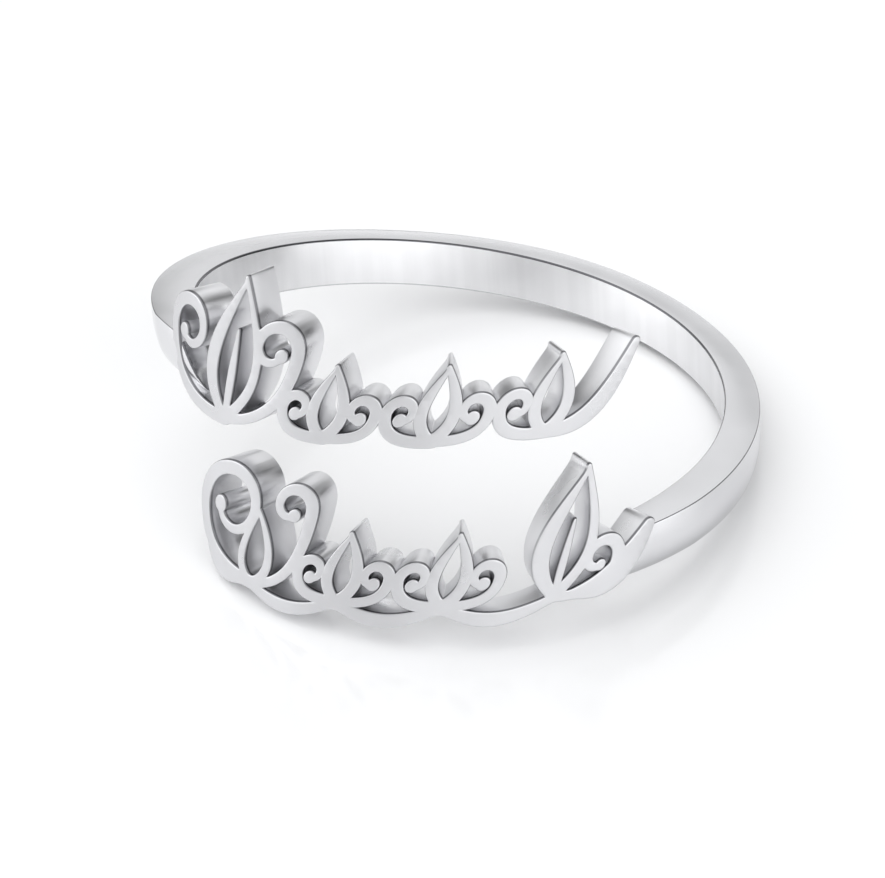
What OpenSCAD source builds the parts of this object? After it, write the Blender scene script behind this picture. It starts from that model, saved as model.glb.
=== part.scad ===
// Open wrap ring in silver. A plain band runs round the back of the finger, and each of its
// ends carries one row of pierced scrolls and leaves across the front, one row above the other.
// The ring is drawn round the finger's axis first, with its front towards -Y, and then laid
// down as it rests by itself.

/* [Finger hole] */
// Radius of the finger hole
bore_r = 8.65; // [8.4:0.05:9]

/* [Openwork rows] */
// Radial depth of both rows
row_depth = 1.2; // [1.1:0.05:1.3]
// Height of the upper row's foot above the lower row's foot
row_rise = 5.45; // [5.35:0.05:5.6]
// How far leaves and scrolls lean to the right, in degrees
lean = 18; // [16:0.5:19]
// Width of every stroke, as a share of the drawn one
weight = 1; // [0.95:0.01:1.1]

/* [Band] */
// Radial depth of the band at the back
band_depth = 1.29; // [1.25:0.01:1.4]
// Height of the band
band_h = 1.7; // [1.6:0.02:1.8]

/* [Rest] */
// How far the ring leans back where it rests, in degrees
rest_back = 14.9; // [0:0.1:20]
// How far it leans to the side there, in degrees
rest_side = 0.2; // [-5:0.1:5]

/* [Hidden] */

row_r = bore_r + row_depth;

// Strokes start inside the finger hole and end past the row's face, and both ends are then
// cut back to true cylinders. Each stroke reaches one layer further than the one before, so
// that no two share a face where they cross.
overcut = 0.2;
layer_step = 0.04;
cut_low = -3;
cut_h = 18;
round_sides = 180;

// Where the finger's axis meets the lower row's foot once the ring lies on its rest, with
// the ring's box centred and its lowest point at height 0
rest_at = [0.1036, -0.8044, -1.1995];

// Steps along a stem, a leaf side or a blade, degrees in each step of a curl, and the
// angles that round a stroke's end
pen_steps = 9;
curl_step = 30;
bead_sides = 12;
cap_angles = [70, 35];

// Columns of a curl: where its stem starts, the direction it leaves in, the middle of the
// curl, its first radius, the side it enters on, how far it turns, then the stroke's width
// at the foot, at the neck and at the tip, and the radius of the bead that ends it
CURL_X = 0; CURL_Y = 1; CURL_DIR = 2; CURL_CX = 3; CURL_CY = 4; CURL_R = 5; CURL_SIDE = 6;
CURL_TURN = 7; CURL_W_FOOT = 8; CURL_W_NECK = 9; CURL_W_TIP = 10; CURL_BEAD = 11;
// The last radius of a curl as a share of its first, and the reach of its stem's handles
curl_close = 0.42;
pen_reach = 0.45;

// Columns of a pierced leaf: its foot, its tilt from upright, its height, how far its sides
// open, how far they reach before they turn in, and the widths of its left and right side
LEAF_X = 0; LEAF_Y = 1; LEAF_TILT = 2; LEAF_H = 3; LEAF_OPEN = 4; LEAF_REACH = 5;
LEAF_W_LEFT = 6; LEAF_W_RIGHT = 7;
leaf_foot_w = 0.44;
leaf_tip_w = 0.18;
// A leaf's sides leave its foot wider than they meet at its tip, and the left one starts
// and ends inside the right one, a step and a half below its tip, at this share of the width
foot_opening = 1.6;
tip_opening = 0.8;
leaf_tuck = 0.74;

// Columns of a blade, which is a single stroke: start, direction there, end, direction
// there, and the widths at the start, in the middle and at the end
BLADE_X = 0; BLADE_Y = 1; BLADE_DIR = 2; BLADE_TX = 3; BLADE_TY = 4; BLADE_TDIR = 5;
BLADE_W_FOOT = 6; BLADE_W_MID = 7; BLADE_W_TIP = 8;

// Every small palmette is a leaf between two curls: how far out and up their middles lie,
// and their radius
palm_out = 1.06;
palm_up = 1.22;
palm_r = 0.53;

// Upper row: where it starts along the row, measured from the front, the place and pitch of
// its palmettes, and its motifs, in millimetres from that start and above the row's foot
upper_start = -11.2;
upper_first = 6.45;
upper_pitch = 3.5;
upper_curls = [
    [2.5, 0.27, 178, 0.1, 3.0, 1.2, 180, -330, 0.5, 0.56, 0.3, 0.3],
    [2.35, 0.3, 2, 4.1, 3.0, 0.95, 0, 330, 0.36, 0.52, 0.28, 0.26],
    for (i = [0:2]) let (x = upper_first + i * upper_pitch)
        [x + 0.1, 0.28, 180, x - palm_out, palm_up, palm_r, 180, -280, 0.4, 0.42, 0.26, 0.24],
    for (i = [0:1]) let (x = upper_first + i * upper_pitch)
        [x - 0.1, 0.3, 0, x + palm_out, palm_up, palm_r, 0, 280, 0.34, 0.42, 0.26, 0.24]
];
upper_leaves = [
    [2.45, 0.24, 2, 4.95, 32, 0.46, 0.62, 0.36],
    for (i = [0:2]) [upper_first + i * upper_pitch, 0.26, 0, 2.4, 34, 0.46, 0.42, 0.42]
];
upper_blades = [
    [2.47, 0.3, 88, 2.6, 3.4, 88, 0.3, 0.38, 0.14],
    [13.35, 0.3, -4, 16, 2.55, 66, 0.34, 0.66, 0.34]
];

// Lower row, in the same way
lower_start = -11.2;
lower_first = 6.45;
lower_pitch = 3.475;
lower_end = 13.4;
lower_curls = [
    [3.1, 0.27, 178, 1.65, 2.8, 1.65, 180, -350, 0.5, 0.6, 0.3, 0.33],
    [2.85, 0.3, 0, 4.15, 3.3, 0.8, 0, 300, 0.36, 0.5, 0.28, 0.25],
    for (i = [0:1]) let (x = lower_first + i * lower_pitch) each [
        [x + 0.1, 0.28, 180, x - palm_out, palm_up, palm_r, 180, -280, 0.4, 0.42, 0.26, 0.24],
        [x - 0.1, 0.3, 0, x + palm_out, palm_up, palm_r, 0, 280, 0.34, 0.42, 0.26, 0.24]],
    [lower_end, 0.28, -4, lower_end + 1.3, 1.32, 0.68, 0, 290, 0.34, 0.46, 0.28, 0.2]
];
lower_leaves = [
    [3, 0.25, -2, 2.65, 40, 0.44, 0.36, 0.36],
    for (i = [0:1]) [lower_first + i * lower_pitch, 0.26, 0, 2.4, 34, 0.46, 0.42, 0.42],
    [lower_end, 0.28, 2, 4.1, 30, 0.46, 0.6, 0.36]
];
lower_blades = [
    [2.7, 0.28, 186, 0.5, 0.62, 150, 0.34, 0.56, 0.3],
    for (i = [0:2]) let (x = lower_first + i * lower_pitch)
        [x - lower_pitch - 0.15, 0.3, -24, x + 0.1, 0.3, 24, 0.3, 0.5, 0.3],
    [lower_end + 0.02, 0.3, 88, lower_end + 0.1, 2.7, 88, 0.24, 0.3, 0.14],
    [lower_end + 0.7, 0.3, 0, lower_end + 2.95, 1.92, 62, 0.38, 1, 0.5]
];

// Band: its angle round the finger is counted from the front, to the right and round the
// back, and its top edge climbs along a cubic from the lower row to the upper row
band_from = 31;
band_to = 298.4;
band_steps = 64;
climb_angle = 170;
climb = [6.057, 1.839, -0.222, -0.121];
// Its depth swells to the left, and its top face slopes out and down to the right
depth_swell = 0.12;
top_drop = 0.06;
top_roll = 0.22;
// Its ends are cut on a slant to follow the strokes they join, and both thin towards them
right_cut = 28;
left_cut = -42;
cut_reach = 15;
right_thin = 0.1;
left_thin = 0.3;
// Columns of its section: share of the depth, and drop below the top edge as a share of
// the height. The first and last point lie inside the finger hole, by the overcut.
band_profile = [
    [0.5, -0.012], [1, 0], [1.012, 0.25], [0.99, 0.53], [0.935, 0.75], [0.82, 0.91], [0.62, 0.99]
];

function pen_point(p, q, a, b, t) =
    pow(1 - t, 3) * p + 3 * pow(1 - t, 2) * t * a + 3 * (1 - t) * t * t * b + pow(t, 3) * q;

// A stroke with given start, end and directions, as a list of [x, y, width]
function pen(p, dir_p, q, dir_q, w, reach) =
    let (k = norm(q - p) * reach,
         a = p + k * [cos(dir_p), sin(dir_p)],
         b = q - k * [cos(dir_q), sin(dir_q)])
    [for (i = [0:pen_steps]) let (t = i / pen_steps)
        concat(pen_point(p, q, a, b, t),
               w[0] * (1 - t) + w[2] * t + (2 * w[1] - w[0] - w[2]) * 2 * t * (1 - t))];

function curl_line(c) =
    let (turn = sign(c[CURL_TURN]),
         mid = [c[CURL_CX], c[CURL_CY]],
         enter = mid + c[CURL_R] * [cos(c[CURL_SIDE]), sin(c[CURL_SIDE])],
         shank = (c[CURL_W_FOOT] + c[CURL_W_NECK]) / 2,
         steps = round(abs(c[CURL_TURN]) / curl_step))
    concat(
        pen([c[CURL_X], c[CURL_Y]], c[CURL_DIR], enter, c[CURL_SIDE] + 90 * turn,
            [c[CURL_W_FOOT], shank, c[CURL_W_NECK]], pen_reach),
        [for (i = [1:steps])
            let (t = i / steps, a = c[CURL_SIDE] + c[CURL_TURN] * t,
                 r = c[CURL_R] * pow(curl_close, t))
            concat(mid + r * [cos(a), sin(a)], c[CURL_W_NECK] * (1 - t) + c[CURL_W_TIP] * t)]);

function leaf_right(l) =
    let (up = 90 - l[LEAF_TILT], foot = [l[LEAF_X], l[LEAF_Y]])
    pen(foot, up - l[LEAF_OPEN] * foot_opening,
        foot + l[LEAF_H] * [cos(up), sin(up)], up + l[LEAF_OPEN] * tip_opening,
        [leaf_foot_w, l[LEAF_W_RIGHT], leaf_tip_w], l[LEAF_REACH]);

function leaf_left(l) =
    let (up = 90 - l[LEAF_TILT], right = leaf_right(l),
         meet = (right[pen_steps - 1] + right[pen_steps - 2]) / 2)
    pen([l[LEAF_X], l[LEAF_Y]], up + l[LEAF_OPEN] * foot_opening,
        [meet[0], meet[1]], up - l[LEAF_OPEN] * tip_opening,
        [leaf_foot_w * leaf_tuck, l[LEAF_W_LEFT], leaf_tip_w * leaf_tuck], l[LEAF_REACH]);

function blade_line(b) =
    pen([b[BLADE_X], b[BLADE_Y]], b[BLADE_DIR], [b[BLADE_TX], b[BLADE_TY]], b[BLADE_TDIR],
        [b[BLADE_W_FOOT], b[BLADE_W_MID], b[BLADE_W_TIP]], pen_reach);

function cap_point(end, out, a) =
    [end[0] + out[0] * end[2] / 2 * sin(a), end[1] + out[1] * end[2] / 2 * sin(a),
     end[2] * cos(a)];

// The same line with its two ends rounded
function rounded(line) =
    let (n = len(line), first = line[0], last = line[n - 1],
         back = [first[0] - line[1][0], first[1] - line[1][1]],
         ahead = [last[0] - line[n - 2][0], last[1] - line[n - 2][1]],
         caps = len(cap_angles))
    concat(
        [for (a = cap_angles) cap_point(first, back / norm(back), a)],
        line,
        [for (i = [1:caps]) cap_point(last, ahead / norm(ahead), cap_angles[caps - i])]);

// A point of the flat drawing, leaned over and wrapped round the finger at radius r
function wrap(p, start, rise, r) =
    let (a = (start + p[0] + p[1] * tan(lean)) / row_r * 180 / PI)
    [r * sin(a), -r * cos(a), rise + p[1]];

function both_faces(edge, start, rise, layer) =
    let (past = overcut + layer_step * layer)
    concat([for (p = edge) wrap(p, start, rise, row_r + past)],
           [for (p = edge) wrap(p, start, rise, bore_r - past)]);

// A stroke of the flat drawing, as a solid that runs through the row's depth
module stroke(line, start, rise, layer) {
    n = len(line);
    edge = [for (i = [0:n - 1])
        let (step = line[min(i + 1, n - 1)] - line[max(i - 1, 0)],
             across = [-step[1], step[0]] / norm([step[0], step[1]]),
             half = line[i][2] * weight / 2, p = [line[i][0], line[i][1]])
        each [p + across * half, p - across * half]];
    back = len(edge);
    faces = concat(
        [for (i = [0:n - 2]) let (a = 2 * i) each [
            [a, a + 3, a + 1], [a, a + 2, a + 3],
            [back + a, back + a + 1, back + a + 3], [back + a, back + a + 3, back + a + 2],
            [a, back + a + 2, a + 2], [a, back + a, back + a + 2],
            [a + 1, a + 3, back + a + 3], [a + 1, back + a + 3, back + a + 1]]],
        [[0, 1, back + 1], [0, back + 1, back],
         [back - 2, 2 * back - 1, back - 1], [back - 2, 2 * back - 2, 2 * back - 1]]);
    polyhedron(both_faces(edge, start, rise, layer), faces, convexity = 6);
}

module bead(p, r, start, rise, layer) {
    n = bead_sides;
    rim = [for (i = [0:n - 1]) let (a = 360 * i / n)
        [p[0] + r * weight * cos(a), p[1] + r * weight * sin(a)]];
    faces = concat(
        [[for (i = [n - 1:-1:0]) i], [for (i = [0:n - 1]) n + i]],
        [for (i = [0:n - 1]) let (j = (i + 1) % n) each [[i, j, n + j], [i, n + j, n + i]]]);
    polyhedron(both_faces(rim, start, rise, layer), faces, convexity = 2);
}

module openwork(curls, leaves, blades, start, rise) {
    leaf_layer = 2 * len(curls);
    blade_layer = leaf_layer + 2 * len(leaves);
    for (i = [0:len(curls) - 1]) {
        line = curl_line(curls[i]);
        stroke(rounded(line), start, rise, 2 * i);
        bead(line[len(line) - 1], curls[i][CURL_BEAD], start, rise, 2 * i + 1);
    }
    for (i = [0:len(leaves) - 1]) {
        stroke(rounded(leaf_right(leaves[i])), start, rise, leaf_layer + 2 * i);
        stroke(rounded(leaf_left(leaves[i])), start, rise, leaf_layer + 2 * i + 1);
    }
    for (i = [0:len(blades) - 1])
        stroke(rounded(blade_line(blades[i])), start, rise, blade_layer + i);
}

// Both rows before their faces are cut. They keep the height that they are drawn at.
module rows() {
    resize([0, 0, 0]) union() {
        openwork(upper_curls, upper_leaves, upper_blades, upper_start, row_rise);
        openwork(lower_curls, lower_leaves, lower_blades, lower_start, 0);
    }
}

function climb_at(t) = climb[0] + climb[1] * t + climb[2] * t * t + climb[3] * t * t * t;

// How near an angle is to the band's right and left end: 1 at that end, 0 past the reach
function near_right(angle) = max(0, 1 - (angle - band_from) / cut_reach);
function near_left(angle) = max(0, 1 - (band_to - angle) / cut_reach);

// A point of the band's section at an angle: out from the finger hole, and down from the
// top edge. Near an end its angle shifts with its height, which cuts that end on a slant.
function band_point(angle, out, down) =
    let (z = climb_at((angle - climb_angle) * PI / 180) - down
             - out / band_depth * (top_drop + top_roll * sin(angle)),
         slant = near_right(angle) * tan(right_cut) + near_left(angle) * tan(left_cut),
         a = angle + (band_h / 2 - down) * slant / row_r * 180 / PI,
         r = bore_r + out)
    [r * sin(a), -r * cos(a), z];

function band_section(angle) =
    let (depth = band_depth - depth_swell * sin(angle)
                 - right_thin * near_right(angle) - left_thin * near_left(angle))
    concat([band_point(angle, -overcut, 0)],
           [for (p = band_profile) band_point(angle, depth * p[0], band_h * p[1])],
           [band_point(angle, -overcut, band_h)]);

module band() {
    m = len(band_profile) + 2;
    points = [for (i = [0:band_steps])
        each band_section(band_from + (band_to - band_from) * i / band_steps)];
    last = band_steps * m;
    faces = concat(
        [[for (j = [0:m - 1]) j], [for (j = [m - 1:-1:0]) last + j]],
        [for (i = [0:band_steps - 1], j = [0:m - 1])
            let (a = i * m + j, b = i * m + (j + 1) % m)
            each [[a, b + m, b], [a, a + m, b + m]]]);
    polyhedron(points, faces, convexity = 6);
}

module upright_ring() {
    difference() {
        union() {
            intersection() {
                rows();
                translate([0, 0, cut_low]) cylinder(r = row_r, h = cut_h, $fn = round_sides);
            }
            band();
        }
        translate([0, 0, cut_low]) cylinder(r = bore_r, h = cut_h, $fn = round_sides);
    }
}

module ring() {
    color("silver") translate(rest_at) rotate([-rest_back, rest_side, 0]) upright_ring();
}

ring();
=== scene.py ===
import bpy
import bmesh
import math
from mathutils import Matrix, Vector


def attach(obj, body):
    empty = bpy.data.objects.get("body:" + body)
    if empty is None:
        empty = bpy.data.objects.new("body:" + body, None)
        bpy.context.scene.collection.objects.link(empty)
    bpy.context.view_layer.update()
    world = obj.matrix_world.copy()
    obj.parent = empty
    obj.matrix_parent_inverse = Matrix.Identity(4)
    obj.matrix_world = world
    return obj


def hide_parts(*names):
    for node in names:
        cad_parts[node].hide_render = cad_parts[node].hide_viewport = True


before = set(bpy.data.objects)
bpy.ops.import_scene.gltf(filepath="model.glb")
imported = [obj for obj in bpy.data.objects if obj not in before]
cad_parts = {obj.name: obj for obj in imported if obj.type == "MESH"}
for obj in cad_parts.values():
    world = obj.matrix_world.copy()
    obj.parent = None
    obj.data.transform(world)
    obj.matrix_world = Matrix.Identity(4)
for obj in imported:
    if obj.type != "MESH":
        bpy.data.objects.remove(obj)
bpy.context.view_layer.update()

# the ring is modelled upright round the finger's axis in millimetres, front towards -Y,
# and laid down on its rest at the end
ringPlan = {
    "holeRadius": 8.65,
    "rowDepth": 1.2,
    "rowRise": 5.45,
    "leanDegrees": 18,
    "restBack": 14.9,
    "restSide": 0.2,
    "restAt": (0.1036, -0.8044, -1.1995),
    "smoothDegrees": 50,    # flatter edges than this are shaded smooth
}
rowRadius = ringPlan["holeRadius"] + ringPlan["rowDepth"]
leanShift = math.tan(math.radians(ringPlan["leanDegrees"]))
uprightToRest = (
    Matrix.Scale(0.001, 4)
    @ Matrix.Translation(ringPlan["restAt"])
    @ Matrix.Rotation(math.radians(ringPlan["restSide"]), 4, "Y")
    @ Matrix.Rotation(math.radians(-ringPlan["restBack"]), 4, "X")
)


def pickOnly(piece):
    bpy.ops.object.select_all(action="DESELECT")
    piece.select_set(True)
    bpy.context.view_layer.objects.active = piece


def applyAll(piece):
    pickOnly(piece)
    for modifier in list(piece.modifiers):
        bpy.ops.object.modifier_apply(modifier=modifier.name)


def joinAs(name, parts):
    bpy.ops.object.select_all(action="DESELECT")
    for part in parts:
        part.select_set(True)
    bpy.context.view_layer.objects.active = parts[0]
    bpy.ops.object.join()
    parts[0].name = name
    parts[0].data.name = name
    return parts[0]


# openwork rows: strokes of a broad pen, drawn flat, in millimetres
penStyle = {
    "reach": 0.45,           # the curve handles' share of a stroke's length
    "steps": 28,
    "curlStep": 7,           # degrees
    "curlClose": 0.42,       # a curl's last radius as a share of its first
    "capDegrees": (75, 60, 45, 30, 15),
    "footOpening": 1.6,      # shares of a leaf's opening
    "tipOpening": 0.8,
    "leafFoot": 0.44,
    "leafTip": 0.18,
    "leafTuck": 0.74,
    "beadSides": 32,
    "edgeSoftness": 0.055,
    "edgeSteps": 2,
    "topFacing": 0.9,
    "merge": 0.004,
    "easing": 3,
    "easeBy": 0.5,
    "seam": 0.0005,
    "panel": 0.25,           # the rows are cut this fine before they are bent
    # the way the edges face whose painted shade line is darkest: up and to the right
    "upwards": (0.45, 0.9),
}


def penPoint(p, q, a, b, t):
    return p * (1 - t) ** 3 + a * 3 * t * (1 - t) ** 2 + b * 3 * t * t * (1 - t) + q * t ** 3


def heading(degrees):
    return Vector((math.cos(math.radians(degrees)), math.sin(math.radians(degrees))))


def penLine(start, startDegrees, end, endDegrees, widths, reach):
    # points and widths of one pen stroke, from its ends and its directions there
    p, q = Vector(start), Vector(end)
    handle = (q - p).length * reach
    a, b = p + heading(startDegrees) * handle, q - heading(endDegrees) * handle
    line, steps = [], penStyle["steps"]
    for i in range(steps + 1):
        t = i / steps
        swell = (2 * widths[1] - widths[0] - widths[2]) * 2 * t * (1 - t)
        width = widths[0] * (1 - t) + widths[2] * t + swell
        line.append((penPoint(p, q, a, b, t), width))
    return line


def curlLine(curl):
    x, y, leaves, midX, midY, radius, side, turn, footWidth, neckWidth, tipWidth, bead = curl
    middle = Vector((midX, midY))
    line = penLine((x, y), leaves, middle + heading(side) * radius, side + math.copysign(90, turn),
                   (footWidth, (footWidth + neckWidth) / 2, neckWidth), penStyle["reach"])
    steps = round(abs(turn) / penStyle["curlStep"])
    for i in range(1, steps + 1):
        t = i / steps
        line.append((middle + heading(side + turn * t) * radius * penStyle["curlClose"] ** t,
                     neckWidth * (1 - t) + tipWidth * t))
    return line


def leafLines(leaf):
    x, y, tilt, height, opening, reach, leftWidth, rightWidth = leaf
    foot, up = Vector((x, y)), 90 - tilt
    footWide, tipWide = opening * penStyle["footOpening"], opening * penStyle["tipOpening"]
    footWidth, tipWidth, tuck = penStyle["leafFoot"], penStyle["leafTip"], penStyle["leafTuck"]
    right = penLine(foot, up - footWide, foot + heading(up) * height, up + tipWide,
                    (footWidth, rightWidth, tipWidth), reach)
    meet = (right[-1][0] + right[-2][0]) / 2
    left = penLine(foot, up + footWide, meet, up - tipWide,
                   (footWidth * tuck, leftWidth, tipWidth * tuck), reach)
    return [right, left]


def bladeLine(blade):
    x, y, leaves, endX, endY, arrives, footWidth, middleWidth, tipWidth = blade
    return penLine((x, y), leaves, (endX, endY), arrives, (footWidth, middleWidth, tipWidth),
                   penStyle["reach"])


# curls: foot x and y, direction, middle x and y, radius, where on it the curl starts, its
# turn, foot, neck and tip width, bead; leaves: foot x and y, tilt, height, opening, handles'
# reach, left and right width; blades: foot x and y, direction, end x and y, direction there,
# foot, middle and tip width
palmette = {"out": 1.072, "up": 1.22, "radius": 0.53}


def leftCurl(x):
    return (x + 0.1, 0.28, 180, x - palmette["out"], palmette["up"], palmette["radius"], 180, -280,
            0.4, 0.42, 0.26, 0.24)


def rightCurl(x):
    return (x - 0.1, 0.3, 0, x + palmette["out"], palmette["up"], palmette["radius"], 0, 280,
            0.34, 0.42, 0.26, 0.24)


def palmLeaf(x):
    return (x, 0.31, 0, 2.35, 34, 0.46, 0.42, 0.42)


def swag(x):
    # hangs from the foot before to the foot at x
    return (x - 3.625, 0.3, -24, x + 0.1, 0.3, 24, 0.3, 0.5, 0.3)


upperPalms = [6.45, 9.95, 13.45]
upperRowPlan = {
    "start": -11.2,
    "rise": ringPlan["rowRise"],
    "curls": [(2.5, 0.27, 178, 0.1, 3.0, 1.2, 180, -330, 0.5, 0.56, 0.3, 0.3),
              (2.35, 0.3, 2, 4.1, 3.0, 0.95, 0, 330, 0.36, 0.52, 0.28, 0.26)]
             + [leftCurl(x) for x in upperPalms] + [rightCurl(x) for x in upperPalms[:2]],
    "leaves": [(2.45, 0.31, 2, 4.88, 32, 0.46, 0.62, 0.36)] + [palmLeaf(x) for x in upperPalms],
    "blades": [(2.47, 0.3, 88, 2.6, 3.4, 88, 0.3, 0.38, 0.14),
               (13.35, 0.3, -4, 16, 2.55, 66, 0.34, 0.66, 0.34)],
}
lowerPalms = [6.45, 9.925]
lowerEnd = 13.4
lowerRowPlan = {
    "start": -11.2,
    "rise": 0,
    "curls": [(3.1, 0.27, 178, 1.65, 2.8, 1.65, 180, -350, 0.5, 0.6, 0.3, 0.33),
              (2.85, 0.3, 0, 4.15, 3.3, 0.8, 0, 300, 0.36, 0.5, 0.28, 0.25),
              (lowerEnd, 0.28, -4, lowerEnd + 1.3, 1.32, 0.68, 0, 290, 0.34, 0.46, 0.28, 0.2)]
             + [leftCurl(x) for x in lowerPalms] + [rightCurl(x) for x in lowerPalms],
    "leaves": [(3, 0.25, -2, 2.65, 40, 0.44, 0.36, 0.36),
               (lowerEnd, 0.33, 2, 4.05, 30, 0.46, 0.6, 0.36)] + [palmLeaf(x) for x in lowerPalms],
    "blades": [(2.7, 0.28, 186, 0.46, 1.1, 118, 0.34, 0.56, 0.22),
               (lowerEnd + 0.02, 0.3, 88, lowerEnd + 0.1, 2.7, 88, 0.24, 0.3, 0.14),
               (lowerEnd + 0.7, 0.3, 0, lowerEnd + 2.95, 1.92, 62, 0.38, 1, 0.5)]
              + [swag(x) for x in (*lowerPalms, lowerEnd)],
}


def roundedEnds(line):
    (first, firstWidth), (last, lastWidth) = line[0], line[-1]
    back = (first - line[1][0]).normalized()
    ahead = (last - line[-2][0]).normalized()
    angles = [math.radians(a) for a in penStyle["capDegrees"]]
    head = [(first + back * firstWidth / 2 * math.sin(a), firstWidth * math.cos(a)) for a in angles]
    tail = [(last + ahead * lastWidth / 2 * math.sin(a), lastWidth * math.cos(a)) for a in angles]
    return head + line + tail[::-1]


def nibEdges(line):
    # the left and right end of the nib at every point, as it is pulled along the line
    edges = []
    for i, (point, width) in enumerate(line):
        step = line[min(i + 1, len(line) - 1)][0] - line[max(i - 1, 0)][0]
        across = Vector((-step.y, step.x)).normalized() * width / 2
        edges.append([Vector((q.x, q.y, 0)) for q in (point + across, point - across)])
    return edges


def pullStroke(line):
    # a plane's far edge, extruded from each nib position to the next, and narrower than
    # the stroke by its soft edges
    slim = 2 * penStyle["edgeSoftness"]
    edges = nibEdges(roundedEnds([(point, width - slim) for point, width in line]))
    bpy.ops.mesh.primitive_plane_add(size=1)
    strip = bpy.context.object
    corners = sorted(strip.data.vertices, key=lambda v: (v.co.x, v.co.y))
    for corner, place in zip(corners, (*edges[0], *edges[1])):
        corner.co = place
    lead = {corners[2].index, corners[3].index}
    bpy.ops.object.mode_set(mode="EDIT")
    bpy.ops.mesh.select_all(action="DESELECT")
    mesh = bmesh.from_edit_mesh(strip.data)
    next(e for e in mesh.edges if {v.index for v in e.verts} == lead).select_set(True)
    for before, pair in zip(edges[1:], edges[2:]):
        bpy.ops.mesh.extrude_edges_move()
        mesh = bmesh.from_edit_mesh(strip.data)
        moved = [v for v in mesh.verts if v.select]
        left, right = sorted(moved, key=lambda v: (v.co - before[0]).length)
        left.co, right.co = pair
    bmesh.update_edit_mesh(strip.data)
    bpy.ops.object.mode_set(mode="OBJECT")
    return strip


def dropBead(point, radius):
    bpy.ops.mesh.primitive_circle_add(vertices=penStyle["beadSides"],
                                      radius=radius - penStyle["edgeSoftness"], fill_type="NGON",
                                      location=(point.x, point.y, 0))
    bpy.ops.object.transform_apply(location=True, rotation=True, scale=True)
    return bpy.context.object


def editAll(piece):
    pickOnly(piece)
    bpy.ops.object.mode_set(mode="EDIT")
    bpy.ops.mesh.select_all(action="SELECT")


def meltStrokes(strokes):
    # every stroke gets a depth, and all are united into one solid
    for stroke in strokes:
        editAll(stroke)
        bpy.ops.mesh.extrude_region_move(TRANSFORM_OT_translate={"value": (0, 0, 1)})
        bpy.ops.mesh.select_all(action="SELECT")
        bpy.ops.mesh.normals_make_consistent(inside=False)
        bpy.ops.object.mode_set(mode="OBJECT")
    first, others = strokes[0], joinAs("others", strokes[1:])
    union = first.modifiers.new("union", "BOOLEAN")
    union.operation, union.solver, union.use_self, union.object = "UNION", "EXACT", True, others
    applyAll(first)
    bpy.data.objects.remove(others)
    return first


def outlineCurve(solid):
    # the outline of the solid's top face, eased where strokes meet, as a flat curve
    editAll(solid)
    bpy.ops.mesh.select_mode(type="FACE")
    bpy.ops.mesh.select_all(action="DESELECT")
    mesh = bmesh.from_edit_mesh(solid.data)
    for face in mesh.faces:
        face.select_set(face.normal.z > penStyle["topFacing"])
    bmesh.update_edit_mesh(solid.data)
    bpy.ops.mesh.region_to_loop()
    bpy.ops.mesh.separate(type="SELECTED")
    bpy.ops.object.mode_set(mode="OBJECT")
    outline = next(o for o in bpy.context.selected_objects if o is not solid)
    bpy.data.objects.remove(solid)
    editAll(outline)
    bpy.ops.mesh.select_mode(type="VERT")
    bpy.ops.mesh.select_all(action="SELECT")
    # the union numbers its points in another order each run, and the merge goes by number
    bpy.ops.mesh.sort_elements(type="CURSOR_DISTANCE", elements={"VERT", "EDGE"})
    bpy.ops.mesh.remove_doubles(threshold=penStyle["merge"])
    bpy.ops.mesh.vertices_smooth(factor=penStyle["easeBy"], repeat=penStyle["easing"])
    bpy.ops.object.mode_set(mode="OBJECT")
    outline.location.z = 0
    bpy.ops.object.convert(target="CURVE")
    return bpy.context.object


def setValues(piece, name, values):
    piece.data.attributes.new(name, "FLOAT", "POINT").data.foreach_set("value", values)


def markRow(row):
    # two values at each point, for the silver: how deep it lies behind the front, in
    # millimetres, and how far it faces up and to the right, from -1 to 1; the silver paints
    # shade by them: a dark line along the upper edges and darker walls beside the front
    light = Vector(penStyle["upwards"]).normalized()
    sides = [Vector((v.normal.x, v.normal.z)) for v in row.data.vertices]
    setValues(row, "depth", [v.co.y for v in row.data.vertices])
    setValues(row, "upward", [side.normalized().dot(light) for side in sides])


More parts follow.
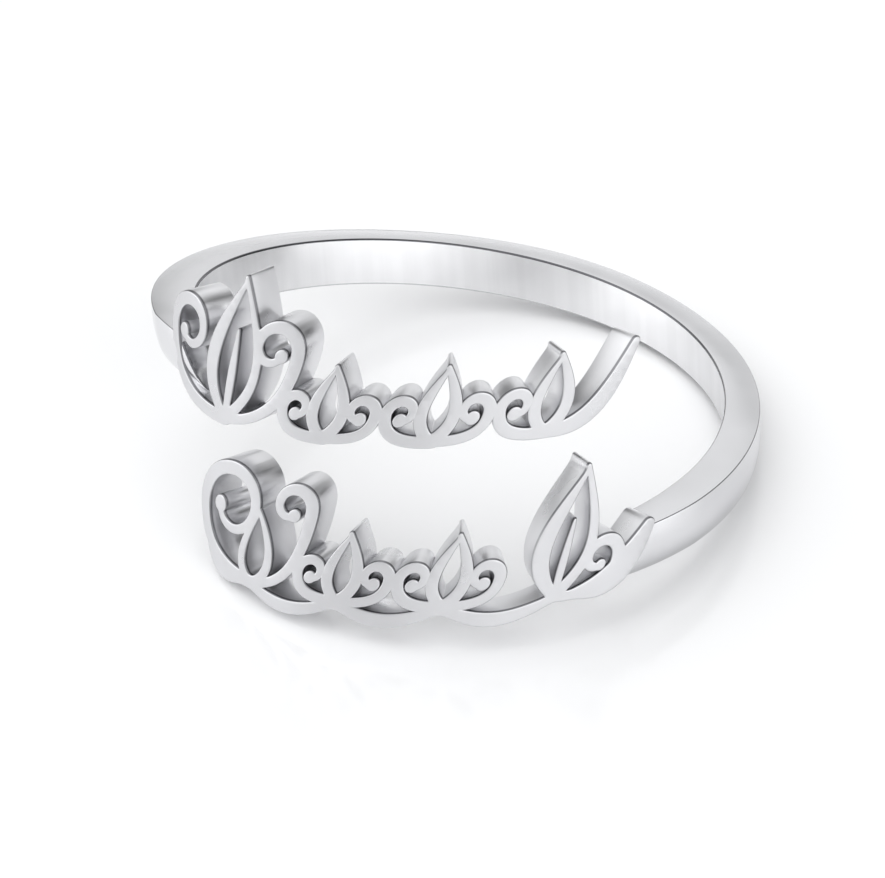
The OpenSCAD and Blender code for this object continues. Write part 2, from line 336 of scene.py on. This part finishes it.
def buildRow(name, plan):
    strokes = []
    for curl in plan["curls"]:
        line = curlLine(curl)
        strokes += [pullStroke(line), dropBead(line[-1][0], curl[-1])]
    for leaf in plan["leaves"]:
        strokes += [pullStroke(line) for line in leafLines(leaf)]
    strokes += [pullStroke(bladeLine(blade)) for blade in plan["blades"]]
    count = len(strokes)
    row = outlineCurve(meltStrokes(strokes))
    row.name = name
    # the outline gets the row's depth, with soft edges at the front and the back
    row.data.dimensions = "2D"
    row.data.fill_mode = "BOTH"
    row.data.bevel_depth = penStyle["edgeSoftness"]
    row.data.bevel_resolution = penStyle["edgeSteps"]
    row.data.extrude = ringPlan["rowDepth"] / 2 - penStyle["edgeSoftness"]
    bpy.ops.object.convert(target="MESH")
    row = bpy.context.object
    row.data.name = name
    lean = Matrix(((1, leanShift, 0, plan["start"]), (0, 0, -1, ringPlan["rowDepth"] / 2),
                   (0, 1, 0, plan["rise"]), (0, 0, 0, 1)))
    row.matrix_world = Matrix.Identity(4)
    row.data.transform(lean)
    editAll(row)
    bpy.ops.mesh.remove_doubles(threshold=penStyle["seam"])
    bpy.ops.mesh.normals_make_consistent(inside=False)
    lowX, highX = min(v[0] for v in row.bound_box), max(v[0] for v in row.bound_box)
    x = lowX + penStyle["panel"]
    while x < highX:
        bpy.ops.mesh.select_all(action="SELECT")
        bpy.ops.mesh.bisect(plane_co=(x, 0, 0), plane_no=(1, 0, 0))
        x += penStyle["panel"]
    bpy.ops.object.mode_set(mode="OBJECT")
    markRow(row)
    print(name, "flat:", count, "strokes,", len(row.data.polygons), "faces")
    bend = row.modifiers.new("bend", "SIMPLE_DEFORM")
    bend.deform_method = "BEND"
    bend.deform_axis = "Z"
    bend.angle = row.dimensions.x / rowRadius
    applyAll(row)
    row.data.transform(uprightToRest @ Matrix.Translation((0, -rowRadius, 0)))
    bpy.ops.object.shade_smooth_by_angle(angle=math.radians(ringPlan["smoothDegrees"]))
    return row


upperRow = buildRow("upper_row", upperRowPlan)
lowerRow = buildRow("lower_row", lowerRowPlan)

# band: one bar swept round the back of the finger, climbing from row to row
bandPlan = {
    "from": 31,
    "to": 298.4,
    "steps": 200,
    "depth": 1.29,
    "height": 1.7,
    "climbDegrees": 170,
    "climb": (6.057, 1.839, -0.222, -0.121),
    "swell": 0.12,
    "topDrop": 0.06,
    "topRoll": 0.22,
    # how far the outer top edge rises at the back right, the angle in degrees, how far it runs
    "backLift": (0.12, 153, 28),
    "rightCut": 28,
    "leftCut": -42,
    "cutReach": 15,
    "rightThin": 0.1,
    "leftThin": 0.3,
    "edgeSoftness": 0.06,
    "creaseSoftness": 0.02,
    "edgeSteps": 3,
    "sameWithin": 0.001,
    "insideWithin": 0.002,
    "facesUp": 0.05,
    # how dark the painted shade lines are along the inner edge and along the crease
    "edgeLine": 1,
    "creaseLine": 0.75,
    # the inner edge's painted shade line is weak up to the first angle and full from the second
    "shadeLineGrows": (80, 108),
    "weakShadeLine": 0.2,
    # the section: share of the depth, and drop below the top edge as a share of the height
    "top": [(0, 0), (0.5, -0.012)],
    "outside": [(1, 0), (1.012, 0.25), (0.99, 0.53), (0.935, 0.75), (0.82, 0.91), (0.62, 0.99)],
    "under": [(0.31, 1), (0, 1)],
    "outsideCuts": 5,
}


def softPath(points, cuts):
    # a smooth path through the points, with a few more between each two
    path = []
    for i in range(len(points) - 1):
        before, here, there, after = (points[max(i - 1, 0)], points[i], points[i + 1],
                                      points[min(i + 2, len(points) - 1)])
        for k in range(cuts):
            t = k / cuts
            path.append(tuple(
                0.5 * (2 * b + (c - a) * t + (2 * a - 5 * b + 4 * c - d) * t * t
                       + (3 * b - a - 3 * c + d) * t ** 3)
                for a, b, c, d in zip(before, here, there, after)))
    return path + [points[-1]]


def bandTop(degrees):
    t = math.radians(degrees - bandPlan["climbDegrees"])
    return sum(c * t ** k for k, c in enumerate(bandPlan["climb"]))


def degreesRound(point):
    return math.degrees(math.atan2(point.x, -point.y)) % 360


def bandShape(degrees, out, down):
    # where a point of the section goes: out from the hole's wall, and down from the top edge
    nearRight = max(0, 1 - (degrees - bandPlan["from"]) / bandPlan["cutReach"])
    nearLeft = max(0, 1 - (bandPlan["to"] - degrees) / bandPlan["cutReach"])
    turn = math.sin(math.radians(degrees))
    depth = (bandPlan["depth"] - bandPlan["swell"] * turn - bandPlan["rightThin"] * nearRight
             - bandPlan["leftThin"] * nearLeft)
    reach = depth * out
    lift, middle, runs = bandPlan["backLift"]
    drop = (bandPlan["topDrop"] + bandPlan["topRoll"] * turn
            - lift * math.exp(-((degrees - middle) / runs) ** 2))
    z = bandTop(degrees) - down * bandPlan["height"] - reach / bandPlan["depth"] * drop
    slant = (nearRight * math.tan(math.radians(bandPlan["rightCut"]))
             + nearLeft * math.tan(math.radians(bandPlan["leftCut"])))
    angle = math.radians(degrees) + (0.5 - down) * bandPlan["height"] * slant / rowRadius
    radius = ringPlan["holeRadius"] + reach
    return Vector((radius * math.sin(angle), -radius * math.cos(angle), z))


def shadeLineGrown(point):
    # how much of the inner edge's painted shade line shows at this point of the band
    weak, full = bandPlan["shadeLineGrows"]
    return min(max((degreesRound(point) - weak) / (full - weak), bandPlan["weakShadeLine"]), 1)


def buildBand():
    section = (bandPlan["top"] + softPath(bandPlan["outside"], bandPlan["outsideCuts"])
               + bandPlan["under"])
    bpy.ops.mesh.primitive_circle_add(vertices=len(section), radius=1, fill_type="NOTHING")
    band = bpy.context.object
    band.name = band.data.name = "band"
    turnEach = (bandPlan["to"] - bandPlan["from"]) / bandPlan["steps"]
    # the section lies flat here: x is out, z is down, y is the angle in degrees
    for vertex, (out, down) in zip(band.data.vertices, section):
        vertex.co = (out, bandPlan["from"], down)
    bpy.ops.object.mode_set(mode="EDIT")
    bpy.ops.mesh.select_all(action="SELECT")
    for _ in range(bandPlan["steps"]):
        bpy.ops.mesh.extrude_edges_move(TRANSFORM_OT_translate={"value": (0, turnEach, 0)})
    bpy.ops.object.mode_set(mode="OBJECT")
    mesh = bmesh.new()
    mesh.from_mesh(band.data)
    bmesh.ops.edgeloop_fill(mesh, edges=[e for e in mesh.edges if e.is_boundary])
    inner, crease, near = [], [], bandPlan["sameWithin"]
    for edge in mesh.edges:
        a, b = edge.verts[0].co, edge.verts[1].co
        along = abs(a.y - b.y) > near
        if along and a.x < near:
            inner.append(edge)
        elif along and abs(a.x - 1) < near and abs(a.z) < near:
            crease.append(edge)
        elif not along and min(abs(a.y - bandPlan["from"]), abs(a.y - bandPlan["to"])) < near:
            inner.append(edge)
    for vertex in mesh.verts:
        vertex.co = bandShape(vertex.co.y, vertex.co.x, vertex.co.z)
    bmesh.ops.recalc_face_normals(mesh, faces=mesh.faces)
    # a painted shade line on the up-facing faces of the soft inner edge and the crease
    line = mesh.faces.layers.float.new("line")
    for edges, kind in ((inner, "edge"), (crease, "crease")):
        made = bmesh.ops.bevel(mesh, geom=[e for e in edges if e.is_valid], profile=0.5,
                               offset=bandPlan[kind + "Softness"], segments=bandPlan["edgeSteps"],
                               affect="EDGES", clamp_overlap=False)
        for face in made["faces"]:
            if face.normal.z > bandPlan["facesUp"]:
                grown = shadeLineGrown(face.calc_center_median()) if kind == "edge" else 1
                face[line] = bandPlan[kind + "Line"] * grown
    bmesh.ops.recalc_face_normals(mesh, faces=mesh.faces)
    mesh.to_mesh(band.data)
    mesh.free()
    # for the silver: the way round in millimetres, and how far below the top edge a point
    # lies, as a share of the height, by which shade is painted low on the outer wall; the inner
    # wall gets a silver of its own
    places = [v.co for v in band.data.vertices]
    around = [math.radians(degreesRound(p)) * rowRadius for p in places]
    out = [math.hypot(p.x, p.y) - ringPlan["holeRadius"] for p in places]
    setValues(band, "around", around)
    setValues(band, "down", [(bandTop(degreesRound(p)) - p.z) / bandPlan["height"] for p in places])
    wrap = band.data.uv_layers[0]
    wrap.name = "wrap"
    for loop in band.data.loops:
        wrap.data[loop.index].uv = (around[loop.vertex_index], places[loop.vertex_index].z)
    for face in band.data.polygons:
        farthest = max(abs(out[v]) for v in face.vertices)
        face.material_index = int(farthest < bandPlan["insideWithin"])
    band.data.transform(uprightToRest)
    pickOnly(band)
    bpy.ops.object.shade_smooth_by_angle(angle=math.radians(ringPlan["smoothDegrees"]))
    print("band:", len(band.data.polygons), "faces")
    return band


band = buildBand()

# silver: the same fine grain everywhere, satin openwork with painted shade (dark lines along
# its upper edges, walls darker beside them), a polished band with painted shade lines along
# its upper edges and painted shade low on its outer wall, and an inner wall that is brushed
# round the finger
silverPlan = {
    "grain": {"Scale": 9000.0, "Detail": 3.0, "Roughness": 0.6},   # scales are per metre
    "wander": {"Scale": 420.0, "Detail": 2.0},
    "hair": {"Scale": 2600.0, "Detail": 4.0, "Roughness": 0.7},
    "hairStretch": (1, 0.16, 0.5),
    "hairShows": (0.62, 0.7),
    "hairDepth": -0.45,
    "hairDulls": 0.07,
    "middleNoise": (0.3, 0.7),
    "toneWander": (0.95, 1.02),
    "polishWander": (-0.03, 0.03),
    "bumpDistance": 0.00002,
    "front": (0.665, 0.665, 0.68, 1),
    # walls: painted shade, darker near the front than far behind it
    "wallNearShaded": (0.73, 0.73, 0.745, 1),
    "wallFar": (0.81, 0.81, 0.825, 1),
    "rowRoughness": 0.3,
    "rowGrain": 0.12,
    # the colour of the painted shade line along the upper edges
    "line": (0.13, 0.13, 0.14, 1),
    # depths behind the front, in millimetres
    "frontEnds": (0, 0.012),
    "shadeLineStarts": (0.002, 0.02),
    "shadeLineEnds": (0.085, 0.14),
    "shadeRuns": (0.05, 0.75),
    # how far an edge faces up before its painted shade line shows, and how strong that line is
    "shadeLineFaces": (-0.35, 0.35),
    "shadeLineStrength": (0.12, 0.85),
    "band": (0.72, 0.72, 0.735, 1),
    "bandRoughness": 0.17,
    "bandGrain": 0.08,
    # painted shade low on the band's outer wall, and a touch of painted light near the top
    "bandShadeRuns": (0.55, 1.05),    # shares of the height, from the top edge down
    "bandShade": (1.03, 0.8),
    "inside": (0.82, 0.82, 0.83, 1),
    "insideRoughness": 0.34,
    "insideDrawn": 0.85,    # how much the brushing draws its reflections out
    "insideTurn": 0.25,     # and which way, in turns
    "brush": {"Scale": 1.6, "Detail": 3.0},   # per millimetre round the band
    "brushTone": (0.98, 1.02),
}


def addNode(tree, kind, inputs, **settings):
    # a node with its settings, and its inputs linked or set
    added = tree.nodes.new("ShaderNode" + kind)
    for name, value in settings.items():
        setattr(added, name, value)
    for name, value in inputs.items():
        if isinstance(value, bpy.types.NodeSocket):
            tree.links.new(value, added.inputs[name])
        else:
            added.inputs[name].default_value = value
    return added


def span(tree, value, given, wanted=(0, 1), kind="SMOOTHSTEP"):
    return addNode(tree, "MapRange", {"Value": value, "From Min": given[0], "From Max": given[1],
                                      "To Min": wanted[0], "To Max": wanted[1]},
                   interpolation_type=kind).outputs["Result"]


def reckon(tree, operation, *values):
    return addNode(tree, "Math", dict(enumerate(values)), operation=operation).outputs[0]


def blendColor(tree, factor, low, high, blend="MIX"):
    return addNode(tree, "Mix", {0: factor, 6: low, 7: high}, data_type="RGBA",
                   blend_type=blend).outputs[2]


def noise(tree, values, **settings):
    return addNode(tree, "TexNoise", values, **settings).outputs[0]


def attributeValue(tree, name):
    return addNode(tree, "Attribute", {}, attribute_name=name).outputs["Fac"]


def startGroup(name, inputs, outputs):
    group = bpy.data.node_groups.new(name, "ShaderNodeTree")
    for socket, kind, value in inputs:
        made = group.interface.new_socket(socket, in_out="INPUT", socket_type=kind)
        if value is not None:
            made.default_value = value
    for socket, kind in outputs:
        group.interface.new_socket(socket, in_out="OUTPUT", socket_type=kind)
    given, result = group.nodes.new("NodeGroupInput"), group.nodes.new("NodeGroupOutput")
    return group, given.outputs, result.inputs


def makeGrain():
    # fine casting grain, a slow wander of tone and polish, and a few short hairline marks
    group, given, result = startGroup(
        "silverGrain",
        [("Place", "NodeSocketVector", None), ("Grain", "NodeSocketFloat", 0.1)],
        [("Tone", "NodeSocketFloat"), ("Polish", "NodeSocketFloat"),
         ("Normal", "NodeSocketVector")])
    fine = noise(group, {"Vector": given["Place"], **silverPlan["grain"]})
    slow = noise(group, {"Vector": given["Place"], **silverPlan["wander"]})
    drawn = addNode(group, "VectorMath", {0: given["Place"], 1: silverPlan["hairStretch"]},
                    operation="MULTIPLY").outputs[0]
    hair = noise(group, {"Vector": drawn, **silverPlan["hair"]})
    marks = span(group, hair, silverPlan["hairShows"])
    height = reckon(group, "MULTIPLY_ADD", marks, silverPlan["hairDepth"], fine)
    bump = addNode(group, "Bump", {"Strength": given["Grain"], "Height": height,
                                   "Distance": silverPlan["bumpDistance"]})
    tone = span(group, slow, silverPlan["middleNoise"], silverPlan["toneWander"])
    polish = span(group, slow, silverPlan["middleNoise"], silverPlan["polishWander"])
    dulled = reckon(group, "MULTIPLY_ADD", marks, silverPlan["hairDulls"], polish)
    group.links.new(tone, result["Tone"])
    group.links.new(dulled, result["Polish"])
    group.links.new(bump.outputs["Normal"], result["Normal"])
    return group


def makeEdges():
    # from the depth behind the front: the front itself, the painted shade line along its upper
    # edges, and the walls' painted shade, darkest beside the line
    group, given, result = startGroup(
        "rowEdges", [("Depth", "NodeSocketFloat", 0), ("Upward", "NodeSocketFloat", 0)],
        [("Front", "NodeSocketFloat"), ("Line", "NodeSocketFloat"), ("Shade", "NodeSocketFloat")])
    depth = given["Depth"]
    strip = reckon(group, "MULTIPLY", span(group, depth, silverPlan["shadeLineStarts"]),
                   span(group, depth, silverPlan["shadeLineEnds"], (1, 0)))
    strength = span(group, given["Upward"], silverPlan["shadeLineFaces"], silverPlan["shadeLineStrength"])
    group.links.new(span(group, depth, silverPlan["frontEnds"], (1, 0)), result["Front"])
    group.links.new(reckon(group, "MULTIPLY", strip, strength), result["Line"])
    group.links.new(span(group, depth, silverPlan["shadeRuns"]), result["Shade"])
    return group


silverGrain, rowEdges = makeGrain(), makeEdges()


def startMaterial(name, grain):
    material = bpy.data.materials.new(name)
    material.use_nodes = True
    tree = material.node_tree
    shader = tree.nodes["Principled BSDF"]
    shader.inputs["Metallic"].default_value = 1
    finish = addNode(tree, "Group", {}, node_tree=silverGrain)
    finish.inputs["Grain"].default_value = grain
    tree.links.new(addNode(tree, "TexCoord", {}).outputs["Object"], finish.inputs["Place"])
    tree.links.new(finish.outputs["Normal"], shader.inputs["Normal"])
    return material, tree, shader, finish.outputs


def finishMaterial(tree, shader, finish, whole, line, roughness):
    toned = blendColor(tree, 1.0, whole, finish["Tone"], "MULTIPLY")
    # the colour is darkened towards the painted shade line's colour where the line lies
    tree.links.new(blendColor(tree, line, toned, silverPlan["line"]), shader.inputs["Base Color"])
    tree.links.new(reckon(tree, "ADD", roughness, finish["Polish"]), shader.inputs["Roughness"])


def makeRowSilver():
    material, tree, shader, finish = startMaterial("rowSilver", silverPlan["rowGrain"])
    edges = addNode(tree, "Group", {}, node_tree=rowEdges)
    tree.links.new(attributeValue(tree, "depth"), edges.inputs["Depth"])
    tree.links.new(attributeValue(tree, "upward"), edges.inputs["Upward"])
    front, line, shade = (edges.outputs[name] for name in ("Front", "Line", "Shade"))
    # painted shade on the walls, darkest near the front beside the line
    wall = blendColor(tree, shade, silverPlan["wallNearShaded"], silverPlan["wallFar"])
    whole = blendColor(tree, front, wall, silverPlan["front"])
    finishMaterial(tree, shader, finish, whole, line, silverPlan["rowRoughness"])
    return material


def makeBandSilver():
    material, tree, shader, finish = startMaterial("bandSilver", silverPlan["bandGrain"])
    # painted shade: the band darker towards the bottom of its outer wall
    shade = span(tree, attributeValue(tree, "down"), silverPlan["bandShadeRuns"],
                 silverPlan["bandShade"])
    whole = blendColor(tree, 1.0, silverPlan["band"], shade, "MULTIPLY")
    finishMaterial(tree, shader, finish, whole, attributeValue(tree, "line"),
                   silverPlan["bandRoughness"])
    return material


def makeInsideSilver():
    material, tree, shader, finish = startMaterial("insideSilver", silverPlan["bandGrain"])
    brushed = noise(tree, {"W": attributeValue(tree, "around"), **silverPlan["brush"]},
                    noise_dimensions="1D")
    streaks = span(tree, brushed, silverPlan["middleNoise"], silverPlan["brushTone"])
    whole = blendColor(tree, 1.0, silverPlan["inside"], streaks, "MULTIPLY")
    finishMaterial(tree, shader, finish, whole, attributeValue(tree, "line"),
                   silverPlan["insideRoughness"])
    shader.inputs["Anisotropic"].default_value = silverPlan["insideDrawn"]
    shader.inputs["Anisotropic Rotation"].default_value = silverPlan["insideTurn"]
    tangent = addNode(tree, "Tangent", {}, direction_type="UV_MAP", uv_map="wrap")
    tree.links.new(tangent.outputs["Tangent"], shader.inputs["Tangent"])
    return material


rowSilver = makeRowSilver()
bandSilvers = [makeBandSilver(), makeInsideSilver()]
for piece, materials in ((band, bandSilvers), (upperRow, [rowSilver]), (lowerRow, [rowSilver])):
    for material in materials:
        piece.data.materials.append(material)
    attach(piece, "root")
    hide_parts("ring")
print("silver:", rowSilver.name, "and", [s.name for s in bandSilvers])

# floor, light and camera
studioPlan = {
    "floorSize": 1.2,
    "floor": {"Base Color": (0.95, 0.95, 0.955, 1), "Roughness": 0.12},
    "tint": (0.85, 0.855, 0.86, 1),
    "dome": 0.95,
    "darkest": 0.03,
    "sheetCore": 0.25,    # the share of a sheet's width that has its full strength
    # soft sheets of light, and dark cards with a strength below 0: degrees round from the
    # front to the right, degrees up, degrees wide, brightness added to the dome
    "sheets": [
        (-160, 3, 24, -0.37),
        (-100, 3, 24, 1.0),
        (-80, 3, 24, 0.71),
        (60, 3, 24, 0.93),
        (100, 3, 24, -0.78),
        (180, 3, 24, 0.16),
        (-150, 21, 28, -0.56),
        (-120, 21, 28, 0.64),
        (0, 21, 28, 0.51),
        (30, 21, 28, 0.75),
        (90, 21, 28, 0.48),
        (120, 21, 28, -0.51),
        (180, 21, 28, -0.1),
        (-90, 43, 32, 0.97),
        (-45, 43, 32, -0.34),
        (0, 43, 32, 0.13),
        (45, 43, 32, 0.76),
        (90, 43, 32, -0.74),
        (180, 43, 32, 0.33),
        (-144, 66, 34, 0.58),
        (-72, 66, 34, 0.53),
        (0, 66, 34, 0.33),
        (144, 66, 34, -0.46),
        (0, 90, 30, 0.17),
    ],
}
bpy.ops.object.select_all(action="DESELECT")
bpy.ops.mesh.primitive_plane_add(size=studioPlan["floorSize"], location=(0, 0, 0))
floor = bpy.context.object
floor.name = "floor"
floorTone = bpy.data.materials.new("floorTone")
floorTone.use_nodes = True
for name, value in studioPlan["floor"].items():
    floorTone.node_tree.nodes["Principled BSDF"].inputs[name].default_value = value
floor.data.materials.append(floorTone)


def lightStudio():
    world = bpy.data.worlds.new("studio")
    world.use_nodes = True
    bpy.context.scene.world = world
    tree = world.node_tree
    toSky = addNode(tree, "TexCoord", {}).outputs["Generated"]
    brightness = studioPlan["dome"]
    for turn, height, width, strength in studioPlan["sheets"]:
        side, rise = math.radians(turn), math.radians(height)
        middle = (math.sin(side) * math.cos(rise), -math.cos(side) * math.cos(rise), math.sin(rise))
        near = addNode(tree, "VectorMath", {0: toSky, 1: middle}, operation="DOT_PRODUCT")
        rim, core = (math.cos(math.radians(width * part)) for part in (1, studioPlan["sheetCore"]))
        sheet = span(tree, near.outputs["Value"], (rim, core), (0, strength), "SMOOTHERSTEP")
        brightness = reckon(tree, "ADD", sheet, brightness)
    lit = reckon(tree, "MAXIMUM", brightness, studioPlan["darkest"])
    tree.links.new(lit, tree.nodes["Background"].inputs["Strength"])
    tree.nodes["Background"].inputs["Color"].default_value = studioPlan["tint"]


lightStudio()

cameraPlan = {
    "elevation": 21.6,   # above the ring's own middle plane, before it is laid down
    "distance": 102.3,
    "pixelFocal": 3015.0,
    "centre": (471.9, 497.4),
    "roll": -0.07,
    "frame": (885, 878),
    "sensor": 36,
    "clip": (0.005, 10),
}


def placeCamera():
    elevation = math.radians(cameraPlan["elevation"])
    place = Vector((0, -math.cos(elevation), math.sin(elevation))) * cameraPlan["distance"]
    ahead = (-place).normalized()
    side = Vector((1, 0, 0))
    up = side.cross(ahead)
    focal, (wide, high) = cameraPlan["pixelFocal"], cameraPlan["frame"]
    dx, dy = wide / 2 - cameraPlan["centre"][0], high / 2 - cameraPlan["centre"][1]
    c, s = math.cos(cameraPlan["roll"]), math.sin(cameraPlan["roll"])
    x, y = c * dx + s * dy, c * dy - s * dx
    aim = (ahead + side * (x / focal) - up * (y / focal)).normalized()
    right = side * c + up * s
    right = (right - aim * right.dot(aim)).normalized()
    turned = Matrix((right, right.cross(aim), -aim)).transposed().to_4x4()
    turned.translation = place
    laid = uprightToRest @ turned
    bpy.ops.object.camera_add()
    camera = bpy.context.object
    camera.matrix_world = Matrix.LocRotScale(laid.to_translation(), laid.to_quaternion(), None)
    camera.data.sensor_fit = "HORIZONTAL"
    camera.data.sensor_width = cameraPlan["sensor"]
    camera.data.lens = focal / wide * cameraPlan["sensor"]
    camera.data.clip_start, camera.data.clip_end = cameraPlan["clip"]
    bpy.context.scene.camera = camera


placeCamera()
print("studio:", len(studioPlan["sheets"]), "sheets and cards, camera placed")
bpy.context.scene.view_settings.view_transform = "Standard"
bpy.context.view_layer.update()
